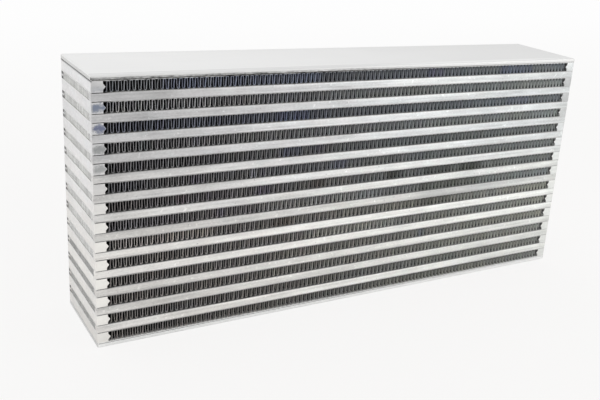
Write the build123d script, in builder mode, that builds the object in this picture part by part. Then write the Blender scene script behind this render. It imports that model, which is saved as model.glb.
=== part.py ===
from build123d import *
import math
import os

# Bare core of a bar-and-plate charge-air cooler, in millimetres.
# X runs along the core with the charge air and Y through it, front to rear, with the cooling air.
# Z runs up the stack, and the origin is the middle of the underside.

# Overall size
core_length = 508.0
core_depth = 90.0
air_layers = 14

# Flat stock
plate_thickness = 4.5
plate_edge_radius = 1.2
lining_thickness = 0.6
seam_height = 0.5
seam_depth = 0.4
sheet_thickness = 0.6

# Cooling-air layers: a folded fin closed at both ends by nosed bars
air_height = 8.9
end_bar_width = 9.2
end_nose_reach = 1.8
end_nose_height = 4.8
air_fold_pitch = 12.45
air_fin_gauge = 0.4
air_fin_setback = 1.2

# Charge-air layers: a folded fin closed at front and rear by nosed bars
charge_height = 6.35
side_bar_width = 5.2
side_nose_reach = 1.0
side_nose_height = 3.4
charge_fold_pitch = 12.4
charge_fin_gauge = 0.3
charge_fin_setback = 0.4

# Room between a fin's last leg and the tip of a bar's nose
fin_end_gap = 0.3

# Heights of the stack, counted from the underside
charge_layers = air_layers - 1
air_pitch = air_height + charge_height + 2 * sheet_thickness
air_bases = [plate_thickness + layer * air_pitch for layer in range(air_layers)]
charge_bases = [base + air_height + sheet_thickness for base in air_bases[:charge_layers]]
sheet_bases = [
    base
    for charge_base in charge_bases
    for base in (charge_base - sheet_thickness, charge_base + charge_height)
]
top_plate_base = air_bases[-1] + air_height


def bar_outline(width, height, nose_reach, nose_height):
    """Section of a closing bar: outer face on the vertical axis, nose pointing inwards along +x."""
    nose_root = (height - nose_height) / 2
    return [
        (0, 0),
        (width, 0),
        (width, nose_root),
        (width + nose_reach, height / 2),
        (width, height - nose_root),
        (width, height),
        (0, height),
    ]


def fold_outline(run, height, gauge, fold_pitch):
    """Section of a strip folded to and fro between 0 and height, centred on the vertical axis."""
    legs = 2 * max(1, round(run / fold_pitch))
    step = run / legs
    # The strip's thickness measured upright, so that across a leg it is the gauge.
    slack = step**2 - gauge**2
    leg_length = math.sqrt((gauge * height) ** 2 + slack * (step**2 + height**2))
    upright = gauge * (leg_length - gauge * height) / slack
    upper = []
    lower = []
    for fold in range(legs + 1):
        x = fold * step - run / 2
        crest = height if fold % 2 else upright
        upper.append((x, crest))
        lower.append((x, crest - upright))
    return upper + lower[::-1]


def save(name, piece):
    piece.label = name
    export_step(piece, f"parts/{name}.step")


os.makedirs("parts", exist_ok=True)

# Side plates that close the stack: outer rim eased, and a seam round the edge above the thin lining sheet
with BuildPart() as bottom_plate:
    with BuildSketch():
        Rectangle(core_length, core_depth)
    extrude(amount=plate_thickness)
    fillet(bottom_plate.faces().sort_by(Axis.Z)[0].edges(), plate_edge_radius)
    with BuildSketch(Plane.XY.offset(plate_thickness - lining_thickness - seam_height)):
        Rectangle(core_length, core_depth)
        Rectangle(core_length - 2 * seam_depth, core_depth - 2 * seam_depth, mode=Mode.SUBTRACT)
    extrude(amount=seam_height, mode=Mode.SUBTRACT)
save("bottom_plate", bottom_plate.part)

with BuildPart() as top_plate:
    with BuildSketch(Plane.XY.offset(top_plate_base)):
        Rectangle(core_length, core_depth)
    extrude(amount=plate_thickness)
    fillet(top_plate.faces().sort_by(Axis.Z)[-1].edges(), plate_edge_radius)
    with BuildSketch(Plane.XY.offset(top_plate_base + lining_thickness)):
        Rectangle(core_length, core_depth)
        Rectangle(core_length - 2 * seam_depth, core_depth - 2 * seam_depth, mode=Mode.SUBTRACT)
    extrude(amount=seam_height, mode=Mode.SUBTRACT)
save("top_plate", top_plate.part)

# Parting sheets, one above and one below every charge-air layer
for number, base in enumerate(sheet_bases, start=1):
    with BuildPart() as parting_sheet:
        with BuildSketch(Plane.XY.offset(base)):
            Rectangle(core_length, core_depth)
        extrude(amount=sheet_thickness)
    save(f"parting_sheet_{number:02d}", parting_sheet.part)

# End bars, which close the cooling-air layers at the charge-air inlet and outlet faces
end_bar_outline = bar_outline(end_bar_width, air_height, end_nose_reach, end_nose_height)
with BuildPart() as left_end_bars:
    for base in air_bases:
        with BuildSketch(Plane.XZ.shift_origin((-core_length / 2, 0, base))):
            with BuildLine():
                Polyline(*end_bar_outline, close=True)
            make_face()
        extrude(amount=core_depth / 2, both=True)
save("left_end_bars", left_end_bars.part)

with BuildPart() as right_end_bars:
    mirror(left_end_bars.part, about=Plane.YZ)
save("right_end_bars", right_end_bars.part)

# Side bars, which close the charge-air layers at the front and rear faces
side_bar_outline = bar_outline(side_bar_width, charge_height, side_nose_reach, side_nose_height)
with BuildPart() as front_side_bars:
    for base in charge_bases:
        with BuildSketch(Plane.YZ.shift_origin((0, -core_depth / 2, base))):
            with BuildLine():
                Polyline(*side_bar_outline, close=True)
            make_face()
        extrude(amount=core_length / 2, both=True)
save("front_side_bars", front_side_bars.part)

with BuildPart() as rear_side_bars:
    mirror(front_side_bars.part, about=Plane.XZ)
save("rear_side_bars", rear_side_bars.part)

# Folded fins of the cooling-air layers, open to front and rear
air_fin_run = core_length - 2 * (end_bar_width + end_nose_reach + fin_end_gap)
air_fin_outline = fold_outline(air_fin_run, air_height, air_fin_gauge, air_fold_pitch)
for number, base in enumerate(air_bases, start=1):
    with BuildPart() as air_fin:
        with BuildSketch(Plane.XZ.shift_origin((0, 0, base))):
            with BuildLine():
                Polyline(*air_fin_outline, close=True)
            make_face()
        extrude(amount=core_depth / 2 - air_fin_setback, both=True)
    save(f"air_fin_{number:02d}", air_fin.part)

# Folded fins of the charge-air layers, open to the left and right ends
charge_fin_run = core_depth - 2 * (side_bar_width + side_nose_reach + fin_end_gap)
charge_fin_outline = fold_outline(charge_fin_run, charge_height, charge_fin_gauge, charge_fold_pitch)
for number, base in enumerate(charge_bases, start=1):
    with BuildPart() as charge_fin:
        with BuildSketch(Plane.YZ.shift_origin((0, 0, base))):
            with BuildLine():
                Polyline(*charge_fin_outline, close=True)
            make_face()
        extrude(amount=core_length / 2 - charge_fin_setback, both=True)
    save(f"charge_fin_{number:02d}", charge_fin.part)
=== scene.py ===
import bpy
import math
import random
from mathutils import Matrix, Vector


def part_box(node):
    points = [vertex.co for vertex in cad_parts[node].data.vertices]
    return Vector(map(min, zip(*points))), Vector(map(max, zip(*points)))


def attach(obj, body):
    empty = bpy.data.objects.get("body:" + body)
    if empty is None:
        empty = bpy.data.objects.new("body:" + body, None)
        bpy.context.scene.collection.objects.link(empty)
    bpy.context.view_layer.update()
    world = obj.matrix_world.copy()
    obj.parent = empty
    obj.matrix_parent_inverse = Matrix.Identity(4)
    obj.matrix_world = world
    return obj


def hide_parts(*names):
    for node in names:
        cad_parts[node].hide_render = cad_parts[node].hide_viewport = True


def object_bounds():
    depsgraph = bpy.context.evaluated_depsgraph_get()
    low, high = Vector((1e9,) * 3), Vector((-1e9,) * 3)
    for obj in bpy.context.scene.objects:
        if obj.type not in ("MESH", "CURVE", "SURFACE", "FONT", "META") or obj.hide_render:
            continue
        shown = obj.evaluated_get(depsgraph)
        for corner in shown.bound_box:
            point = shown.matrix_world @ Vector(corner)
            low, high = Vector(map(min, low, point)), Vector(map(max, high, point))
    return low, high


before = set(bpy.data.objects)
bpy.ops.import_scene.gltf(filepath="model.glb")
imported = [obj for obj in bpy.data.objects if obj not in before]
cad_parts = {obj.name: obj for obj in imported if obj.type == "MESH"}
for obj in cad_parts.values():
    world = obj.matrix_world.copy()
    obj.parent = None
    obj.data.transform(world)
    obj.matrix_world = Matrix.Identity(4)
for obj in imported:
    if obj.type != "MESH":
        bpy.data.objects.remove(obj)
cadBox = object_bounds()
print("frame loaded:", len(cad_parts), "nodes")


# Shader maths

class Wire:
    def __init__(self, finish, socket):
        self.finish = finish
        self.socket = socket

    def sum(self, operation, first, second):
        return self.finish.node("ShaderNodeMath", {"operation": operation}, {0: first, 1: second})

    def __add__(self, other):
        return self.sum("ADD", self, other)

    def __radd__(self, other):
        return self.sum("ADD", other, self)

    def __sub__(self, other):
        return self.sum("SUBTRACT", self, other)

    def __rsub__(self, other):
        return self.sum("SUBTRACT", other, self)

    def __mul__(self, other):
        return self.sum("MULTIPLY", self, other)

    def __rmul__(self, other):
        return self.sum("MULTIPLY", other, self)

    def __lt__(self, other):
        return self.sum("LESS_THAN", self, other)

    def __gt__(self, other):
        return self.sum("GREATER_THAN", self, other)

    def __abs__(self):
        return self.sum("ABSOLUTE", self, 0.0)

    def swing(self, amount):  # a noise's ups and downs, about zero
        return (self - 0.5) * amount


class Finish:
    def __init__(self, name, tree=None):
        if tree is None:
            self.material = bpy.data.materials.new(name)
            self.material.use_nodes = True
            tree = self.material.node_tree
        self.tree = tree
        self.tree.nodes.clear()

    def node(self, kind, settings=None, inputs=None, output=0):
        made = self.tree.nodes.new(kind)
        for key, value in (settings or {}).items():
            if key == "stops":
                self.setStops(made.color_ramp, value)
            else:
                setattr(made, key, value)
        for key, value in (inputs or {}).items():
            if isinstance(value, Wire):
                self.tree.links.new(value.socket, made.inputs[key])
            else:
                made.inputs[key].default_value = value
        return Wire(self, made.outputs[output]) if made.outputs else None

    def setStops(self, ramp, stops):
        while len(ramp.elements) < len(stops):
            ramp.elements.new(0.5)
        for element, (place, colour) in zip(ramp.elements, stops):
            element.position = place
            element.color = colour

    def axes(self):
        spot = self.node("ShaderNodeTexCoord", output="Object")
        split = self.node("ShaderNodeSeparateXYZ", {}, {0: spot})
        return [Wire(self, socket) for socket in split.socket.node.outputs]

    def noise(self, scale, detail, offset=(0, 0, 0)):  # scale is cells per metre on each axis
        spot = self.node("ShaderNodeTexCoord", output="Object")
        place = self.node("ShaderNodeMapping", {}, {"Vector": spot, "Scale": scale, "Location": offset})
        return self.node("ShaderNodeTexNoise", {}, {"Vector": place, "Scale": 1.0, "Detail": detail})

    def fade(self, value, low, high):  # 0 at low, 1 at high
        return self.node("ShaderNodeMapRange", {"clamp": True, "interpolation_type": "SMOOTHSTEP"},
                         {"Value": value, "From Min": low, "From Max": high})

    def band(self, value, rise, fall):  # 1 from the end of the rise to the start of the fall
        return self.fade(value, *rise) * self.fade(value, fall[1], fall[0])

    def skin(self, value, face, depth=0.0010, full=0.0003):  # 1 on an outer face of the core, 0 deeper in
        inward = 1 if face < 0 else -1
        return self.fade(value, face + inward * depth, face + inward * full)

    def atLeast(self, least, mask):  # lifts a mask's zero
        return least + mask * (1 - least)

    def fold(self, value, period):  # distance to the nearest whole period
        return self.node("ShaderNodeMath", {"operation": "PINGPONG"}, {0: value, 1: period / 2})

    def blend(self, factor, first, second):
        return self.node("ShaderNodeMix", {"data_type": "RGBA"}, {0: factor, 6: first, 7: second}, 2)

    def tint(self, colour, cast):
        multiply = {"data_type": "RGBA", "blend_type": "MULTIPLY"}
        return self.node("ShaderNodeMix", multiply, {0: 1.0, 6: colour, 7: cast}, 2)

    def toned(self, tone, blue=1.0):  # a grey, with its blue turned up or down
        return self.node("ShaderNodeCombineColor", {}, {0: tone, 1: tone, 2: tone * blue})

    def ramp(self, value, stops):
        return self.node("ShaderNodeValToRGB", {"stops": stops}, {"Fac": value})

    def painted(self, output):  # what the faces of a piece carry
        return self.node("ShaderNodeAttribute", {"attribute_name": "cast"}, output=output)

    def bump(self, height, distance):
        return self.node("ShaderNodeBump", {}, {"Height": height, "Distance": distance})

    def metal(self, sockets):
        shader = self.node("ShaderNodeBsdfPrincipled", {}, sockets)
        self.node("ShaderNodeOutputMaterial", {}, {"Surface": shader})
        return self.material


def grey(level, warmth=0.0):
    return (level + warmth, level, level - warmth, 1.0)


# Mesh helpers
facing = 0.9  # least cosine of a face that looks a given way
touching = 1e-5


def deselect():
    if bpy.context.object and bpy.context.object.mode != "OBJECT":
        bpy.ops.object.mode_set(mode="OBJECT")
    bpy.ops.object.select_all(action="DESELECT")


def addBlock(name, low, high):  # a box between two corners, its place in its mesh
    deselect()
    low, high = Vector(low), Vector(high)
    bpy.ops.mesh.primitive_cube_add(size=1, location=(low + high) / 2, scale=high - low)
    bpy.ops.object.transform_apply(location=True, rotation=True, scale=True)
    piece = bpy.context.object
    piece.name = name
    piece.data.name = name
    return piece


def pickFaces(piece, test):  # goes into edit mode with only the wanted faces selected
    bpy.ops.object.mode_set(mode="EDIT")
    bpy.ops.mesh.select_mode(type="FACE")
    bpy.ops.mesh.select_all(action="DESELECT")
    bpy.ops.object.mode_set(mode="OBJECT")
    for face in piece.data.polygons:
        face.select = test(face)
    bpy.ops.object.mode_set(mode="EDIT")


def applyModifier(piece, kind, settings):
    modifier = piece.modifiers.new(kind.title(), kind)
    for key, value in settings.items():
        setattr(modifier, key, value)
    bpy.context.view_layer.objects.active = piece
    bpy.ops.object.modifier_apply(modifier=modifier.name)


def copyPiece(piece, name, turn=Matrix.Identity(4)):  # own mesh, moved in its mesh
    twin = piece.copy()
    twin.data = piece.data.copy()
    twin.data.transform(turn)
    twin.name = name
    twin.data.name = name
    bpy.context.collection.objects.link(twin)
    return twin


def joinPieces(pieces, name):
    deselect()
    for piece in pieces:
        piece.select_set(True)
    bpy.context.view_layer.objects.active = pieces[0]
    bpy.ops.object.join()
    joined = bpy.context.object
    joined.name = name
    joined.data.name = name
    return joined


def smooth(piece, degrees):
    deselect()
    piece.select_set(True)
    bpy.context.view_layer.objects.active = piece
    bpy.ops.object.shade_smooth_by_angle(angle=math.radians(degrees))


def settle(piece, nodes):  # what it rides on and stands for
    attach(piece, "root")
    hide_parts(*nodes)


def middleOf(layer):
    return (layer[0].z + layer[1].z) / 2


# Layers and places of the core, from the frame
airNodes = sorted(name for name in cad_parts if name.startswith("air_fin_"))
chargeNodes = sorted(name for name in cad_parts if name.startswith("charge_fin_"))
sheetNodes = sorted(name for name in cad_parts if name.startswith("parting_sheet_"))
airLayers = [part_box(name) for name in airNodes]
chargeLayers = [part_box(name) for name in chargeNodes]
halfTurn = Matrix.Rotation(math.pi, 4, "Z")
core = {
    "left": cadBox[0][0], "right": cadBox[1][0], "front": cadBox[0][1], "rear": cadBox[1][1],
    "middle": cadBox[1][2] / 2, "joint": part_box("top_plate")[0].z,  # the joint is under the top plate
    "pitch": chargeLayers[1][0].z - chargeLayers[0][0].z,
    "lowEndBar": middleOf(airLayers[0]), "lowSideBar": middleOf(chargeLayers[0]),
}


# Finish of the plates' rolled faces, with a border along the front where the shear rolled them down; the
# border carries painted shade at the left and a painted highlight towards the right
plateLook = {
    "tone": 0.81, "fall": 0.12, "fallSpan": (-0.25, 0.3), "blue": 0.995, "metallic": 0.8, "roughness": 0.38,
    "streaks": (6, 420, 420), "streakTone": 0.05, "streakGloss": 0.12, "grooves": 0.00002,
    "clouds": (14, 22, 22), "cloudTone": 0.06, "cloudGloss": 0.10,
    "waves": (30, 30, 30), "wave": 0.004, "border": (0.0078, 0.0066), "line": (0.0038, 0.0054),
    "borderShade": -0.07, "borderHighlight": 0.16, "highlightSpan": (-0.05, 0.12), "lineTone": 0.04,
}


def makePlateMetal():
    look = plateLook
    finish = Finish("plateMetal")
    x, y, z = finish.axes()
    streak = finish.noise(look["streaks"], 4)
    cloud = finish.noise(look["clouds"], 3, (3, 1, 0))
    behind = y - core["front"] + finish.noise(look["waves"], 2, (6, 2, 0)).swing(look["wave"])
    border = finish.fade(behind, *look["border"])
    line = border * finish.fade(behind, *look["line"])
    tone = look["tone"] - finish.fade(x, *look["fallSpan"]) * look["fall"]
    tone = tone + streak.swing(look["streakTone"]) + cloud.swing(look["cloudTone"])
    # painted shade on the rolled-down border, turning into a painted highlight towards the right
    tone = tone + border * (finish.fade(x, *look["highlightSpan"]) * look["borderHighlight"] + look["borderShade"])
    return finish.metal({
        "Base Color": finish.toned(tone - line * look["lineTone"], look["blue"]),
        "Metallic": look["metallic"],
        "Roughness": look["roughness"] + streak.swing(look["streakGloss"]) + cloud.swing(look["cloudGloss"]),
        "Normal": finish.bump(streak, look["grooves"]),
    })


# Finish of the plates' edges, torn along the front, with painted shade along the joint under the top plate;
# heights are above the joint
edgeLook = {
    "tone": 0.84, "blue": 0.985, "metallic": 0.4, "roughness": 0.5, "grooves": 0.0001,
    "tears": (300, 300, 900), "tearTone": 0.16, "patches": (35, 35, 200), "patchTone": 0.12,
    "torn": 0.40, "tornTear": 1.1, "tornPatch": 0.8, "tornSpan": (0.12, -0.12), "tornLeast": 0.15,
    "tornTop": (0.00225, 0.00305), "tornRagged": 0.002, "tornLoss": 0.75,
    "endTone": 0.19, "endTop": (0.00375, 0.00305),
    "lining": (0.00105, 0.00065), "liningTone": 0.30, "liningSpan": ((-0.20, -0.10), (0.05, 0.20)),
    "leftTone": 0.62,
}


def makePlateEdge():
    look = edgeLook
    finish = Finish("plateEdge")
    x, y, z = finish.axes()
    height = z - core["joint"]
    topPlate = z > core["middle"]
    tear = finish.noise(look["tears"], 4)
    patch = finish.noise(look["patches"], 3, (4, 0, 1))
    upper = finish.fade(height + tear.swing(look["tornRagged"]), *look["tornTop"])  # runs out below the rim
    torn = finish.skin(y, core["front"]) * topPlate * (1.0 - upper * look["tornLoss"])
    torn = torn * (finish.fade(x, *look["tornSpan"]) + look["tornLeast"])
    ends = finish.skin(abs(x), core["right"]) * finish.fade(height, *look["endTop"])
    # painted shade along the joint under the top plate, strongest on the left end face
    lined = finish.band(x, *look["liningSpan"]) * look["liningTone"]
    lined = lined + finish.skin(x, core["left"]) * look["leftTone"]
    lined = lined * finish.fade(height, *look["lining"]) * topPlate
    tone = look["tone"] - ends * look["endTone"] - lined
    tone = tone + tear.swing(look["tearTone"]) + patch.swing(look["patchTone"])
    tone = tone - torn * (look["torn"] + tear.swing(look["tornTear"]) + patch.swing(look["tornPatch"]))
    return finish.metal({
        "Base Color": finish.toned(tone, look["blue"]),
        "Metallic": look["metallic"],
        "Roughness": look["roughness"],
        "Normal": finish.bump(tear, look["grooves"]),
    })


# Painted shade in the plates' seam, open and dark at the left and closed by braze towards the right
seamLook = {
    "open": 0.012, "closed": 0.7, "roughness": 0.9, "wander": (60, 60, 60), "wanderBy": 0.08,
    "brazeSpan": (0.02, 0.24), "braze": 0.6, "lowerBraze": 0.35, "leftSkin": (0.0014, 0.0007),
}


def makeSeamShade():
    look = seamLook
    finish = Finish("seamShade")
    x, y, z = finish.axes()
    wandering = x + finish.noise(look["wander"], 2) * look["wanderBy"]
    closed = finish.fade(wandering, *look["brazeSpan"]) * look["braze"]
    # on the left end face the seam's painted shade is lifted; the lining below carries it there
    closed = closed + finish.skin(x, core["left"], *look["leftSkin"])
    closed = closed + (z < core["middle"]) * look["lowerBraze"]
    return finish.metal({
        "Base Color": finish.blend(closed, grey(look["open"]), grey(look["closed"])),
        "Metallic": 0.0,
        "Roughness": look["roughness"],
        "Specular IOR Level": 0.0,
    })


# Finish shared by both kinds of bar, rosy at the left and greener at the right, with painted shade along the
# core that is darkest at the left end
barLook = {
    "lightAlongCore": [(-0.27, -0.06, 0.14), (-0.08, 0.0, 0.015), (0.08, 0.16, -0.04), (0.238, 0.248, -0.05)],
    "streaks": (6, 420, 420), "streakTone": 0.42, "grooves": 0.00004,
    "clouds": (18, 40, 60), "cloudTone": 0.26, "cloudGloss": 0.15,
    "smears": (45, 120, 240), "smearTone": 0.30, "smearGloss": 0.2, "roughness": 0.42,
    "grains": (420, 420, 900), "grainTone": 0.24,
    "specks": (380, 380, 420), "speckCut": (0.67, 0.76), "speckTone": 0.30,
    "glints": (260, 260, 300), "glintCut": (0.64, 0.74), "glintTone": 0.16,
    "warmRise": (0.20, 0.05), "warmPatches": (11, 30, 45), "warmSpread": 1.3,
    "warmStops": [(0.0, (0.98, 0.99, 1.0, 1)), (0.5, (1, 1, 0.985, 1)), (1.0, (1.0, 0.99, 0.955, 1))],
    "greenSpan": (-0.25, 0.25), "greenPatches": (60, 90, 160), "greenSpread": 2.0,
    "greenStops": [(0.0, (1.0, 0.98, 0.975, 1)), (1.0, (0.978, 1.0, 0.99, 1))],
}


def makeBarMetal(name, kind):
    look = barLook
    finish = Finish(name)
    x, y, z = finish.axes()
    streak = finish.noise(look["streaks"], 3)
    smear = finish.noise(look["smears"], 3, (4, 1, 2))
    cloud = finish.noise(look["clouds"], 4, (1, 2, 3))
    grain = finish.noise(look["grains"], 2, (9, 2, 6))
    speck = finish.fade(finish.noise(look["specks"], 2, (5, 3, 1)), *look["speckCut"])
    glint = finish.fade(finish.noise(look["glints"], 2, (1, 8, 4)), *look["glintCut"])
    tone = kind["tone"] + (streak.swing(look["streakTone"]) + cloud.swing(look["cloudTone"])) * kind["lively"]
    for start, end, gain in look["lightAlongCore"]:  # painted light and shade along the core, darkest at the left end
        tone = tone + finish.fade(x, start, end) * gain
    fine = smear.swing(look["smearTone"]) + grain.swing(look["grainTone"]) + glint * look["glintTone"]
    tone = tone * finish.painted("Fac") + fine * kind["lively"]  # each bar has its own tone
    warm = finish.noise(look["warmPatches"], 2, (7, 5, 2)).swing(look["warmSpread"])
    warm = warm + finish.fade(z, *look["warmRise"])
    green = finish.noise(look["greenPatches"], 2, (3, 9, 5)).swing(look["greenSpread"])
    green = green + finish.fade(x, *look["greenSpan"])
    clean = finish.tint(finish.toned(tone), finish.ramp(warm, look["warmStops"]))
    clean = finish.tint(clean, finish.ramp(green, look["greenStops"]))
    return finish, clean, cloud, speck, {
        "Metallic": kind["metallic"],
        "Roughness": look["roughness"] + cloud.swing(look["cloudGloss"]) + smear.swing(look["smearGloss"]),
        "Normal": finish.bump(streak + smear, look["grooves"]),
    }


# Side bars: painted shade on stretches along and up the core, a smudge, and unbrazed pits at the rear of the
# left end, painted dark as shade
sideBarLook = {
    "tone": 0.65, "lively": 1.0, "metallic": 0.80, "speck": 0.55, "smudgeAndShadeTone": 0.38,
    "shadeStretches": [((-0.10, -0.22), (0.205, 0.215), 0.36), ((0.13, 0.20), (0.075, 0.030), 0.10)],
    "smudgeAlong": ((0.03, 0.08), (0.16, 0.21)), "smudgeUp": ((0.0955, 0.0965), (0.1025, 0.1032)),
    "smudgeCut": (0.35, 0.6), "smudge": 0.5,
    "pitShadeTone": 0.01, "pitPlace": 0.0419, "pitWide": (0.0024, 0.0016), "pitTall": (0.0016, 0.0010),
    "pitApart": 0.0021, "pitSkin": (0.0004, 0.0001),
}


def makeSideBarMetal():
    look = sideBarLook
    finish, clean, cloud, speck, sockets = makeBarMetal("sideBarMetal", look)
    x, y, z = finish.axes()
    smudge = finish.band(x, *look["smudgeAlong"]) * finish.band(z, *look["smudgeUp"])
    smudgeAndShade = smudge * finish.fade(cloud, *look["smudgeCut"]) * look["smudge"]
    # painted shade: the top rows darker towards the left end, the lowest rows darker towards the right end
    for along, up, strength in look["shadeStretches"]:
        smudgeAndShade = smudgeAndShade + finish.fade(x, *along) * finish.fade(z, *up) * strength
    # painted shade: near-black spots standing for small pits at the rear of the left end, one on each bar
    above = abs(finish.fold(z - core["lowSideBar"], core["pitch"]) - look["pitApart"])
    pitShade = finish.fade(abs(y - look["pitPlace"]), *look["pitWide"]) * finish.fade(above, *look["pitTall"])
    pitShade = pitShade * finish.skin(x, core["left"], *look["pitSkin"])
    colour = finish.blend(smudgeAndShade, clean, grey(look["smudgeAndShadeTone"]))
    colour = finish.blend(pitShade, colour, grey(look["pitShadeTone"]))
    colour = finish.blend(speck * look["speck"], colour, grey(barLook["speckTone"]))
    return finish.metal({"Base Color": colour, **sockets})


# End bars: their front ends are stained, with a pale tide mark, or darker, with painted shade on the upper
# fronts at the left end and along the joint; painted shade behind the nose
endBarLook = {
    "tone": 0.77, "lively": 0.45, "metallic": 0.40, "speck": 0.3, "reach": (0.2425, 0.2440),
    "blotches": (220, 220, 320), "blotchBy": 0.007, "mottles": (800, 800, 1000), "mottleBy": 0.004,
    "stainMiddle": -0.2485, "stainNarrow": 0.22, "stainSize": (0.0054, 0.0010),
    "stainUp": ((0.140, 0.163), (0.212, 0.226)), "stainLow": 0.78,
    "stainEdge": (-0.2537, -0.2522), "edgeLeast": 0.35,
    "lowStain": (0.25, 0.26, 0.26, 1), "blueStain": (0.16, 0.18, 0.27, 1), "highStain": (0.22, 0.25, 0.32, 1),
    "blueFrom": (0.178, 0.190), "highFrom": (0.196, 0.200),
    "tideBand": ((0.0036, 0.0044), (0.0048, 0.0056)), "tide": 0.5, "tideTone": 0.80,
    "darkenedTone": 0.40, "leftShades": [((0.095, 0.175), 0.45), ((0.024, 0.012), 0.14)],
    "rightDarker": 0.10, "rightHigh": ((0.14, 0.19), (0.212, 0.222)), "highDarker": 0.52,
    "rightLow": (0.10, 0.005), "lowDarker": 0.20,
    "jointSkin": (0.0015, 0.0005), "jointLine": (-0.00145, -0.00065), "jointShade": 0.95,
    "creamRise": (0.15, 0.10), "cream": 0.6, "creamColour": (0.93, 0.91, 0.86, 1),
    "pocketReach": (0.2449, 0.2446), "pocketSkin": (0.0005, 0.0001), "pocketShadeTone": 0.18,
}


def makeEndBarMetal():
    look = endBarLook
    finish, clean, _, speck, sockets = makeBarMetal("endBarMetal", look)
    x, y, z = finish.axes()
    frontEnds = finish.skin(y, core["front"]) * finish.fade(abs(x), *look["reach"])
    leftEnds = frontEnds * (x < 0.0)
    rightEnds = frontEnds * (x > 0.0)

    ring = finish.fold(z - core["lowEndBar"], core["pitch"])
    ring = ring + abs(x - look["stainMiddle"]) * look["stainNarrow"]
    ring = ring + finish.noise(look["blotches"], 2, (2, 6, 1)).swing(look["blotchBy"])
    ring = ring + finish.noise(look["mottles"], 3, (7, 1, 3)).swing(look["mottleBy"])
    stained = leftEnds * finish.band(z, *look["stainUp"])
    blue = finish.fade(z, *look["blueFrom"])
    stain = stained * finish.fade(ring, *look["stainSize"]) * finish.atLeast(look["stainLow"], blue)
    stain = stain * finish.atLeast(look["edgeLeast"], finish.fade(x, *look["stainEdge"]))
    tide = stained * finish.band(ring, *look["tideBand"]) * look["tide"]
    hue = finish.blend(blue, look["lowStain"], look["blueStain"])  # bluest on the third bar from the top
    hue = finish.blend(finish.fade(z, *look["highFrom"]), hue, look["highStain"])

    # the right ends darker, most on the high rows
    darkened = look["rightDarker"] + finish.band(z, *look["rightHigh"]) * look["highDarker"]
    darkened = rightEnds * (darkened + finish.fade(z, *look["rightLow"]) * look["lowDarker"])
    # painted shade on the upper end-bar fronts at the left end, and a little on the lowest
    for up, strength in look["leftShades"]:
        darkened = darkened + leftEnds * finish.fade(z, *up) * strength
    # painted shade: a dark line along the joint under the top plate, on the left end face
    joint = finish.fade(z - core["joint"], *look["jointLine"])
    joint = joint * finish.skin(x, core["left"], *look["jointSkin"])
    darkened = darkened + joint * look["jointShade"]
    cream = leftEnds * finish.fade(z, *look["creamRise"]) * look["cream"]
    # painted shade in the pocket behind each bar's nose, next to the fins
    pocketShade = finish.fade(abs(x), *look["pocketReach"])
    pocketShade = pocketShade * (1.0 - finish.skin(abs(y), core["rear"], *look["pocketSkin"]))

    colour = finish.blend(cream, clean, look["creamColour"])
    colour = finish.blend(darkened, colour, grey(look["darkenedTone"]))
    colour = finish.blend(tide, colour, grey(look["tideTone"]))
    colour = finish.blend(stain, colour, hue)
    colour = finish.blend(pocketShade, colour, grey(look["pocketShadeTone"]))
    colour = finish.blend(speck * look["speck"], colour, grey(barLook["speckTone"]))
    return finish.metal({"Base Color": colour, **sockets})


# Parting sheets: bright at their two ends, shaded along the front, darkest on the ledge before the fins
sheetLook = {
    "tone": 0.78, "blue": 0.98, "metallic": 0.5, "roughness": 0.5, "mottles": (60, 60, 60), "mottleTone": 0.4,
    "innerTone": 0.23, "leftTone": 0.17, "leftSpan": (0.15, -0.15),
    "ledgeTone": 0.22, "ledgeSkin": (0.00015, 0.00003),
    "cornerSpan": (-0.236, -0.246), "cornerTone": 0.16, "cornerRise": (0.12, 0.16), "cornerGain": 0.14,
}


def makeSheetMetal():
    look = sheetLook
    finish = Finish("sheetMetal")
    x, y, z = finish.axes()
    inner = 1.0 - finish.skin(abs(x), core["right"])
    ledge = inner * (1.0 - finish.skin(abs(y), core["rear"], *look["ledgeSkin"]))
    corner = finish.skin(y, core["front"]) * finish.fade(x, *look["cornerSpan"])
    corner = corner * (look["cornerTone"] + finish.fade(z, *look["cornerRise"]) * look["cornerGain"])
    tone = look["tone"] - inner * (look["innerTone"] + finish.fade(x, *look["leftSpan"]) * look["leftTone"])
    tone = tone - ledge * look["ledgeTone"] - corner
    tone = tone + finish.noise(look["mottles"], 4).swing(look["mottleTone"])
    return finish.metal({
        "Base Color": finish.toned(tone, look["blue"]),
        "Metallic": look["metallic"],
        "Roughness": look["roughness"],
    })


# Fins: each leg is cast by the colour painted on it, with painted shade that deepens inwards from the open
# edge
finLook = {"mottles": (160, 60, 160), "mottleTone": 0.2, "patches": (22, 8, 61), "roughness": 0.6,
           "specular": 0.15}
airFinLook = {
    "tone": 0.78, "axis": 1, "edge": airLayers[0][1].y,
    "darkens": (0.0005, 0.0035), "waver": 0.001, "dark": 0.005,
    "tints": [(0.35, (0.955, 0.97, 1.0, 1)), (0.5, (0.99, 0.99, 0.99, 1)), (0.65, (1.0, 0.99, 0.96, 1))],
}
chargeFinLook = {
    "tone": 0.90, "axis": 0, "edge": chargeLayers[0][1].x,
    "darkens": (0.006, 0.020), "waver": 0.003, "dark": 0.10,
    "tints": [(0.35, (0.95, 0.95, 0.94, 1)), (0.65, (1.0, 1.0, 0.98, 1))],
}


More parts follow.
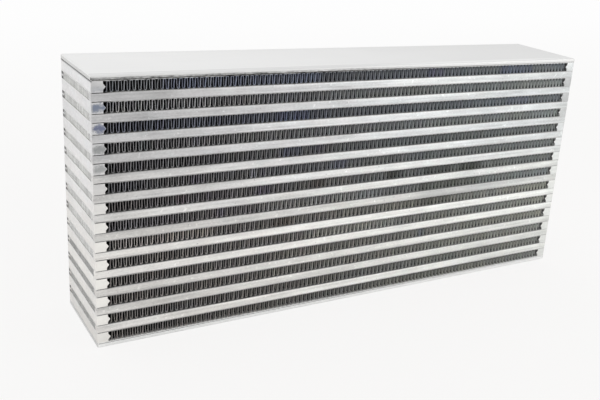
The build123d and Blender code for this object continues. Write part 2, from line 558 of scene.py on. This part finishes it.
def makeFinMetal(name, look):
    finish = Finish(name)
    mottle = finish.noise(finLook["mottles"], 3, (2, 0, 4))
    patch = finish.noise(finLook["patches"], 2)
    tone = look["tone"] + mottle.swing(finLook["mottleTone"])
    bright = finish.tint(finish.toned(tone), finish.ramp(patch, look["tints"]))
    bright = finish.tint(bright, finish.painted("Color"))
    # painted shade, deepening inwards from the open edge of the passage
    inside = look["edge"] - abs(finish.axes()[look["axis"]]) + mottle.swing(look["waver"])
    return finish.metal({
        "Base Color": finish.blend(finish.fade(inside, *look["darkens"]), bright, grey(look["dark"])),
        "Metallic": 0.0,
        "Roughness": finLook["roughness"],
        "Specular IOR Level": finLook["specular"],
    })


plateMetal = makePlateMetal()
plateEdge = makePlateEdge()
seamShade = makeSeamShade()
endBarMetal = makeEndBarMetal()
sideBarMetal = makeSideBarMetal()
sheetMetal = makeSheetMetal()
airFinMetal = makeFinMetal("airFinMetal", airFinLook)
chargeFinMetal = makeFinMetal("chargeFinMetal", chargeFinLook)
print("finishes made")


# Side plates, each lined by a thin sheet with a seam between
plate = {"rim": 0.0012, "rimSteps": 3, "lining": 0.0006, "seam": 0.0005, "seamDepth": 0.0004,
         "rolledFrom": 0.3, "smooth": 40}


def makePlate(name, node, outward):
    low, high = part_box(node)
    piece = addBlock(name, low, high)
    inner = low.z if outward > 0 else high.z
    pickFaces(piece, lambda face: face.normal.z * outward > facing)
    bpy.ops.mesh.region_to_loop()
    bpy.ops.mesh.bevel(offset=plate["rim"], segments=plate["rimSteps"], affect="EDGES")
    for height in (plate["lining"], plate["lining"] + plate["seam"]):
        bpy.ops.mesh.select_all(action="SELECT")
        bpy.ops.mesh.bisect(plane_co=(0, 0, inner + outward * height), plane_no=(0, 0, 1))
    bpy.ops.object.mode_set(mode="OBJECT")
    middle = inner + outward * (plate["lining"] + plate["seam"] / 2)
    pickFaces(piece, lambda face: abs(face.center.z - middle) < plate["seam"] / 4)
    bpy.ops.mesh.extrude_region_shrink_fatten(TRANSFORM_OT_shrink_fatten={"value": -plate["seamDepth"]})
    bpy.ops.object.mode_set(mode="OBJECT")
    for metal in (plateMetal, plateEdge, seamShade):
        piece.data.materials.append(metal)
    for face in piece.data.polygons:
        atEnd = abs(abs(face.center.x) - high.x) < touching
        flush = atEnd or abs(abs(face.center.y) - high.y) < touching
        inset = abs(face.center.z - middle) < plate["seam"] * 0.6 and not flush
        rolled = face.normal.z * outward > plate["rolledFrom"]
        face.material_index = 2 if inset else 0 if rolled else 1
    smooth(piece, plate["smooth"])
    settle(piece, [node])


makePlate("topPlate", "top_plate", 1)
makePlate("bottomPlate", "bottom_plate", -1)
print("side plates made")


# Closing bars, each with a pointed nose towards the fin; tones start at the lowest bar
endBar = {"nose": 0.0018, "root": 0.0048, "waist": 0.0024, "tip": 0.0005, "slack": 0.0002,
          "tones": [0.96, 1.02, 1.0, 1.04, 1.0, 1.0, 0.98, 1.02, 1.0, 1.0, 0.98, 0.96, 0.97, 1.03]}
sideBar = {"nose": 0.0010, "root": 0.0034, "waist": 0.0017, "tip": 0.0004, "slack": 0.0002,
           "tones": [1.16, 1.03, 1.03, 1.17, 1.18, 0.93, 1.03, 1.01, 1.03, 0.97, 1.03, 0.97, 1.04]}
barEdge = {"waistAt": 0.55, "ease": 0.00015, "easeSteps": 2, "easeAngle": 50, "smooth": 30}


def makeBar(name, low, high, inward, sizes):  # low and high hold the whole bar, nose included
    along = Vector(inward)
    back = Vector(low)
    front = Vector(high) - along * sizes["nose"]
    piece = addBlock(name, back, front)
    middle = (back.z + front.z) / 2
    bpy.ops.object.mode_set(mode="EDIT")
    for side in (-1, 1):
        bpy.ops.mesh.select_all(action="SELECT")
        bpy.ops.mesh.bisect(plane_co=(0, 0, middle + side * sizes["root"] / 2), plane_no=(0, 0, 1))
    strip = sizes["root"] / 4
    pickFaces(piece, lambda face: face.normal.dot(along) > facing and abs(face.center.z - middle) < strip)
    centre = (back + front) / 2
    centre.z = middle
    steps = [(barEdge["waistAt"], sizes["waist"] / sizes["root"]),
             (1 - barEdge["waistAt"], sizes["tip"] / sizes["waist"])]
    for reach, narrow in steps:
        bpy.ops.mesh.extrude_region_move(TRANSFORM_OT_translate={"value": along * sizes["nose"] * reach})
        bpy.ops.transform.resize(value=(1, 1, narrow), center_override=centre)
    bpy.ops.object.mode_set(mode="OBJECT")
    applyModifier(piece, "BEVEL", {"width": barEdge["ease"], "segments": barEdge["easeSteps"],
                                   "limit_method": "ANGLE",
                                   "angle_limit": math.radians(barEdge["easeAngle"])})
    return piece


def stackBars(name, bar, layers, inward, sizes, metal, draw):  # one bar in each layer, none set quite alike
    bars = []
    for number, (layer, tone) in enumerate(zip(layers, sizes["tones"])):
        shift = Vector(inward) * draw.uniform(0, sizes["slack"]) + Vector((0, 0, layer[0].z - layers[0][0].z))
        bars.append(copyPiece(bar, f"{name}.{number}", Matrix.Translation(shift)))
        cast = bars[-1].data.attributes.new("cast", "FLOAT_COLOR", "FACE")
        cast.data.foreach_set("color", [tone, tone, tone, 1.0] * len(cast.data))
    bpy.data.objects.remove(bar)
    stacked = joinPieces(bars, name)
    stacked.data.materials.append(metal)
    smooth(stacked, barEdge["smooth"])
    return stacked


draw = random.Random(7)
leftLow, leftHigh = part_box("left_end_bars")
leftHigh.z = airLayers[0][1].z
endBarOne = makeBar("endBarOne", leftLow, leftHigh, (1, 0, 0), endBar)
leftBars = stackBars("leftEndBars", endBarOne, airLayers, (1, 0, 0), endBar, endBarMetal, draw)
rightBars = copyPiece(leftBars, "rightEndBars", halfTurn)
settle(leftBars, ["left_end_bars"])
settle(rightBars, ["right_end_bars"])

frontLow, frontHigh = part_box("front_side_bars")
frontHigh.z = chargeLayers[0][1].z
sideBarOne = makeBar("sideBarOne", frontLow, frontHigh, (0, 1, 0), sideBar)
frontBars = stackBars("frontSideBars", sideBarOne, chargeLayers, (0, 1, 0), sideBar, sideBarMetal, draw)
rearBars = copyPiece(frontBars, "rearSideBars", halfTurn)
settle(frontBars, ["front_side_bars"])
settle(rearBars, ["rear_side_bars"])
print("closing bars made")


# Folded fins: the strip's shape
airFin = {"folds": 109, "gauge": 0.0002, "foot": 0.00045, "radius": 0.00100, "arcSteps": 8, "legSteps": 4,
          "endRoom": 0.0003, "wander": 0.0005, "grain": 0.004, "weld": 0.02, "smooth": 35}
chargeFin = {"folds": 25, "gauge": 0.0002, "foot": 0.0004, "radius": 0.0007, "arcSteps": 6, "legSteps": 2,
             "endRoom": 0.0003, "wander": 0.0004, "grain": 0.0035, "weld": 0.02, "smooth": 35}


def makeFin(name, low, high, across, sizes):  # folds run along one axis, the strip's width along the other
    run = Vector(across)
    width = Vector((abs(run.y), abs(run.x), 0))
    span = (high - low).dot(run) - 2 * sizes["endRoom"]
    pitch = span / sizes["folds"]
    radius = sizes["radius"]
    rise = high.z - low.z - sizes["foot"]
    half, drop = pitch / 2, rise - 2 * radius
    lean = math.atan2(drop, half) + math.asin(2 * radius / math.hypot(half, drop))
    leg = math.sqrt(half ** 2 + drop ** 2 - 4 * radius ** 2)
    start = low + run * sizes["endRoom"] + Vector((0, 0, sizes["foot"] / 2))
    axis = Vector((0, 0, 1)).cross(run)  # spin turns against the hand rule

    deselect()
    bpy.ops.mesh.primitive_plane_add(size=1)
    piece = bpy.context.object
    piece.name = name
    piece.data.name = name
    bpy.ops.object.mode_set(mode="EDIT")
    bpy.ops.mesh.select_mode(type="VERT")
    bpy.ops.mesh.merge(type="CENTER")
    bpy.ops.transform.translate(value=start)
    bpy.ops.mesh.extrude_region_move(TRANSFORM_OT_translate={"value": width * (high - low).dot(width)})
    bpy.ops.mesh.select_all(action="SELECT")
    bpy.ops.mesh.select_mode(type="EDGE")

    def arc(centre, angle, steps):
        bpy.ops.mesh.spin(steps=steps, angle=angle, center=centre, axis=axis)

    def straight(up):
        step = (run * math.cos(lean) + Vector((0, 0, up * math.sin(lean)))) * leg / sizes["legSteps"]
        for _ in range(sizes["legSteps"]):
            bpy.ops.mesh.extrude_region_move(TRANSFORM_OT_translate={"value": step})

    trough = start + Vector((0, 0, radius))
    crest = start + run * half + Vector((0, 0, rise - radius))
    arc(trough, lean, sizes["arcSteps"] // 2)
    straight(1)
    arc(crest, -2 * lean, sizes["arcSteps"])
    straight(-1)
    arc(trough + run * pitch, lean, sizes["arcSteps"] // 2)
    bpy.ops.object.mode_set(mode="OBJECT")

    braze = piece.vertex_groups.new(name="braze")  # the bends, thickened where they are brazed
    reach = rise / 2 - radius
    for vertex in piece.data.vertices:
        weight = (abs(vertex.co.z - start.z - rise / 2) - reach) / radius
        braze.add([vertex.index], max(0.0, weight), "REPLACE")
    applyModifier(piece, "ARRAY", {"count": sizes["folds"], "use_relative_offset": False,
                                   "use_constant_offset": True, "constant_offset_displace": run * pitch,
                                   "use_merge_vertices": True, "merge_threshold": radius * sizes["weld"]})
    return piece


def finishFin(piece, across, sizes, texture, metal):  # uneven folds, then the strip's thickness
    applyModifier(piece, "DISPLACE", {"texture": texture, "texture_coords": "LOCAL",
                                      "strength": sizes["wander"], "direction": "X" if across[0] else "Y"})
    applyModifier(piece, "SOLIDIFY", {"thickness": sizes["foot"], "offset": 0.0, "use_even_offset": True,
                                      "vertex_group": "braze",
                                      "thickness_vertex_group": sizes["gauge"] / sizes["foot"]})
    piece.data.materials.append(metal)
    smooth(piece, sizes["smooth"])


# Folded fins: the colour of every leg, with painted shade towards the first leg, at the feet, on the
# undersides and in the notches; pairs run from the first leg to the last
airPaint = {"uneven": 0.25, "even": 0.6, "startShade": 0.22, "hue": 0.018, "shade": (0.27, 0.80),
            "footShade": (0.45, 0.0), "notchShade": (0.3825, 0.85)}
chargePaint = {"uneven": 0.15, "even": 0.0, "startShade": 0.0, "hue": 0.0, "shade": (1.0, 1.0),
               "footShade": (0.0, 0.0), "notchShade": (0.0, 0.0)}
paint = {"turn": (0.2, 0.7), "blur": 0.006, "startShadeCurve": 1.4, "shadeCurve": 1.6, "footReach": 0.20,
         "edgeTilt": 0.25, "notchFrom": 0.6, "notchRun": 0.3, "stainLeast": 0.5}
airRows = {  # tones start at the lowest row
    "tones": [0.74, 0.80, 0.89, 0.89, 0.92, 0.92, 0.85, 0.74, 0.76, 0.71, 0.89, 0.71, 0.89, 0.71],
    "coldRows": (12, 14), "warmBelow": 7, "mildBelow": 9,
}
chargeRows = {"lowTone": 0.74, "tone": 1.05, "lowBelow": 5}
airCasts = {  # colours at the left and right end of a row
    "cold": ((0.95, 0.97, 1.04), (0.907, 0.97, 1.017)),
    "plain": ((1.02, 1.0, 1.03), (0.945, 1.0, 0.99)),
    "mild": ((1.06, 1.0, 1.02), (0.95, 1.0, 0.965)),
    "warm": ((1.06, 1.0, 0.965), (0.985, 1.0, 0.93)),
}
stainCasts = {
    "blue": (0.82, 0.86, 1.05), "violet": (0.88, 0.82, 1.0), "maroon": (0.90, 0.79, 0.82),
    "olive": (0.52, 0.52, 0.48), "umber": (0.68, 0.64, 0.60), "teal": (0.86, 0.97, 0.97),
    "pale": (2.2, 2.2, 2.5), "dusk": (0.93, 0.95, 1.06), "worn": (1.36, 1.38, 1.36),
    "scoured": (1.58, 1.54, 1.48), "soot": (0.65, 0.65, 0.63),
}
airStains = {  # for each row: from, to and colour
    14: [(-0.242, -0.050, "worn"), (-0.200, -0.050, "blue"), (0.060, 0.085, "violet"),
         (0.150, 0.200, "blue")],
    13: [(-0.242, -0.150, "worn")],
    12: [(-0.242, -0.040, "dusk"), (-0.100, -0.060, "blue"), (0.164, 0.200, "dusk")],
    11: [(-0.220, -0.205, "teal"), (-0.174, -0.164, "blue")],
    10: [(-0.092, -0.066, "blue"), (-0.057, -0.045, "violet")],
    9: [(-0.176, -0.160, "violet"), (-0.120, -0.112, "pale"), (-0.109, -0.104, "pale"),
        (-0.041, -0.018, "blue")],
    8: [(-0.187, -0.174, "maroon"), (-0.160, -0.153, "violet"), (-0.115, -0.094, "violet"),
        (-0.060, -0.041, "umber"), (0.022, 0.047, "olive"), (0.066, 0.112, "soot"), (0.112, 0.147, "olive")],
    7: [(-0.150, -0.139, "blue"), (-0.112, 0.020, "worn"), (0.064, 0.144, "soot")],
    6: [(-0.242, -0.150, "scoured"), (-0.098, -0.072, "umber"), (0.060, 0.110, "soot")],
    5: [(-0.060, 0.045, "worn")],
    4: [(0.068, 0.082, "blue")],
}


def airCast(number):  # two of the top rows cold, low rows warm, all greener towards the right
    kind = "plain"
    if number in airRows["coldRows"]:
        kind = "cold"
    elif number < airRows["warmBelow"]:
        kind = "warm"
    elif number < airRows["mildBelow"]:
        kind = "mild"
    return [Vector(colour) * airRows["tones"][number - 1] for colour in airCasts[kind]]


def chargeCast(number):  # the lowest passages are darker
    tone = chargeRows["lowTone"] if number < chargeRows["lowBelow"] else chargeRows["tone"]
    return [Vector((tone, tone, tone)), Vector((tone, tone, tone))]


def clip(value):
    return max(0.0, min(1.0, value))


def between(pair, share):
    return pair[0] + (pair[1] - pair[0]) * share


def legColour(share, place, ends, stains, tones, draw):  # share is 0 at the first leg and 1 past the last
    uneven = tones["uneven"] * (1 - tones["even"] * share)
    tone = draw.uniform(1 - uneven, 1 + uneven / 2)
    # painted shade, deepest at the first leg of a row
    tone = tone * (1 - tones["startShade"] * (1 - share ** paint["startShadeCurve"]))
    hue = Vector([draw.uniform(1 - tones["hue"], 1 + tones["hue"]) for _ in range(3)])
    turnStart, turnEnd = paint["turn"]
    colour = ends[0].lerp(ends[1], clip((share - turnStart) / (turnEnd - turnStart))) * tone * hue
    for start, end, stain in stains:
        if start < place < end:
            soft = min(1.0, min(place - start, end - place) / paint["blur"])
            strength = draw.uniform(paint["stainLeast"], 1.0) * soft
            colour = colour.lerp(colour * Vector(stainCasts[stain]), strength)
    return colour


def paintFin(piece, low, high, run, ends, stains, sizes, tones, draw):
    pitch = ((high - low).dot(run) - 2 * sizes["endRoom"]) / sizes["folds"]
    begin = low.dot(run) + sizes["endRoom"]
    count = 2 * sizes["folds"]
    places = [begin + (leg + 0.5) * pitch / 2 for leg in range(count)]
    legs = [legColour(leg / count, place, ends, stains, tones, draw) for leg, place in enumerate(places)]
    colours = []
    for face in piece.data.polygons:
        leg = max(0, min(int((face.center.dot(run) - begin) / pitch * 2), count - 1))
        share = leg / count
        rise = (face.center.z - low.z) / (high.z - low.z)
        across = face.normal.dot(run)
        # painted shade at the foot of each leg
        colour = legs[leg] * (1 - between(tones["footShade"], share) * max(0.0, 1 - rise / paint["footReach"]))
        if max(abs(across), abs(face.normal.z)) > paint["edgeTilt"]:  # not the strip's own edge
            upper = (across < 0) == (leg % 2 == 0)
            deep = rise if upper else 1 - rise  # painted shade: each gap is dark at its open end
            shade = 1 if upper else between(tones["shade"], share ** paint["shadeCurve"])
            notchShade = between(tones["notchShade"], share) * clip((deep - paint["notchFrom"]) / paint["notchRun"])
            colour = colour * shade * (1 - notchShade)
        colours.extend(colour)
        colours.append(1.0)
    cast = piece.data.attributes.new("cast", "FLOAT_COLOR", "FACE")
    cast.data.foreach_set("color", colours)


def makeFins(stem, nodes, layers, across, sizes, tones, metal, casts, stains):
    texture = bpy.data.textures.new(stem + "Wander", "CLOUDS")
    texture.noise_scale = sizes["grain"]
    draw = random.Random(11)
    pattern = makeFin(stem, layers[0][0], layers[0][1], across, sizes)
    for number, (node, (low, high)) in enumerate(zip(nodes, layers), start=1):
        lift = Matrix.Translation((0, 0, low.z - layers[0][0].z))
        piece = copyPiece(pattern, f"{stem}{number:02d}", lift)
        finishFin(piece, across, sizes, texture, metal)
        here = stains.get(number, [])
        paintFin(piece, low, high, Vector(across), casts(number), here, sizes, tones, draw)
        settle(piece, [node])
    bpy.data.objects.remove(pattern)


makeFins("airFin", airNodes, airLayers, (1, 0, 0), airFin, airPaint, airFinMetal,
         airCast, airStains)
makeFins("chargeFin", chargeNodes, chargeLayers, (0, 1, 0), chargeFin, chargePaint, chargeFinMetal,
         chargeCast, {})
print("fins made")

for name in sheetNodes:
    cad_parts[name].data.materials.clear()
    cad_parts[name].data.materials.append(sheetMetal)


# Floor, light and camera
stage = {"floorSize": 12.0, "floorDrop": 0.0001, "nearPaint": 0.95, "farPaint": 0.34,
         "paintFades": (0.30, 0.95), "floorGlow": 0.90, "nearWhite": 0.94, "nearWarmth": 0.006,
         "farWhite": 0.99, "whiteFades": (0.1, 2.0), "skyLight": 1.0}
lamps = {"softbox": {"place": (1.0, -1.1, 0.45), "aim": (0.1, 0.0, 0.1), "size": 0.85, "power": 2.6},
         "sideFill": {"place": (-1.2, 0.5, 0.5), "aim": (-0.25, 0.0, 0.1), "size": 0.8, "power": 0.4}}
view = {"place": (-0.424321, -0.686153, 0.371456), "azimuth": 33.6372, "elevation": 19.2114, "roll": 4.8335,
        "lens": 51.0825, "shiftX": -0.108418, "shiftY": -0.002014}


def makeFloor():
    deselect()
    bpy.ops.mesh.primitive_plane_add(size=stage["floorSize"], location=(0, 0, -stage["floorDrop"]))
    bpy.ops.object.transform_apply(location=True)
    floor = bpy.context.object
    floor.name = "floor"
    finish = Finish("floorPaint")
    x, y, z = finish.axes()
    ahead = finish.fade(-1.0 * y, *stage["paintFades"])  # painted shade on the floor, darker well in front of the core
    shade = finish.blend(ahead, grey(stage["nearPaint"]), grey(stage["farPaint"]))
    flat = {"Base Color": shade, "Roughness": 1.0, "Specular IOR Level": 0.0}
    matt = finish.node("ShaderNodeBsdfPrincipled", {}, flat)
    nearWhite = grey(stage["nearWhite"], stage["nearWarmth"])
    white = finish.blend(finish.fade(y, *stage["whiteFades"]), nearWhite, grey(stage["farWhite"]))
    glow = finish.node("ShaderNodeEmission", {}, {"Color": white, "Strength": 1.0})
    seen = finish.node("ShaderNodeLightPath", output="Is Camera Ray")  # 1 where the camera looks straight on
    mixed = finish.node("ShaderNodeMixShader", {}, {0: seen * stage["floorGlow"], 1: matt, 2: glow})
    finish.node("ShaderNodeOutputMaterial", {}, {"Surface": mixed})
    floor.data.materials.append(finish.material)


def makeSky():
    world = bpy.data.worlds.new("studio")
    bpy.context.scene.world = world
    world.use_nodes = True
    finish = Finish("studio", world.node_tree)
    back = finish.node("ShaderNodeBackground", {}, {"Color": (1, 1, 1, 1), "Strength": stage["skyLight"]})
    finish.node("ShaderNodeOutputWorld", {}, {"Surface": back})


def makeLamp(name, lamp):
    data = bpy.data.lights.new(name, "AREA")
    data.shape = "SQUARE"
    data.size = lamp["size"]
    data.energy = lamp["power"]
    piece = bpy.data.objects.new(name, data)
    bpy.context.collection.objects.link(piece)
    piece.location = lamp["place"]
    aim = Vector(lamp["aim"]) - Vector(lamp["place"])
    piece.rotation_euler = aim.to_track_quat("-Z", "Y").to_euler()


def makeCamera():
    data = bpy.data.cameras.new("camera")
    camera = bpy.data.objects.new("camera", data)
    bpy.context.collection.objects.link(camera)
    data.lens = view["lens"]
    data.shift_x = view["shiftX"]
    data.shift_y = view["shiftY"]
    turn = Matrix.Rotation(math.radians(-view["azimuth"]), 4, "Z")
    tilt = Matrix.Rotation(math.radians(90 - view["elevation"]), 4, "X")
    roll = Matrix.Rotation(math.radians(view["roll"]), 4, "Z")
    camera.matrix_world = Matrix.Translation(view["place"]) @ turn @ tilt @ roll
    bpy.context.scene.camera = camera


makeFloor()
makeSky()
for name, lamp in lamps.items():
    makeLamp(name, lamp)
makeCamera()
bpy.context.scene.view_settings.view_transform = "Standard"
print("stage set")
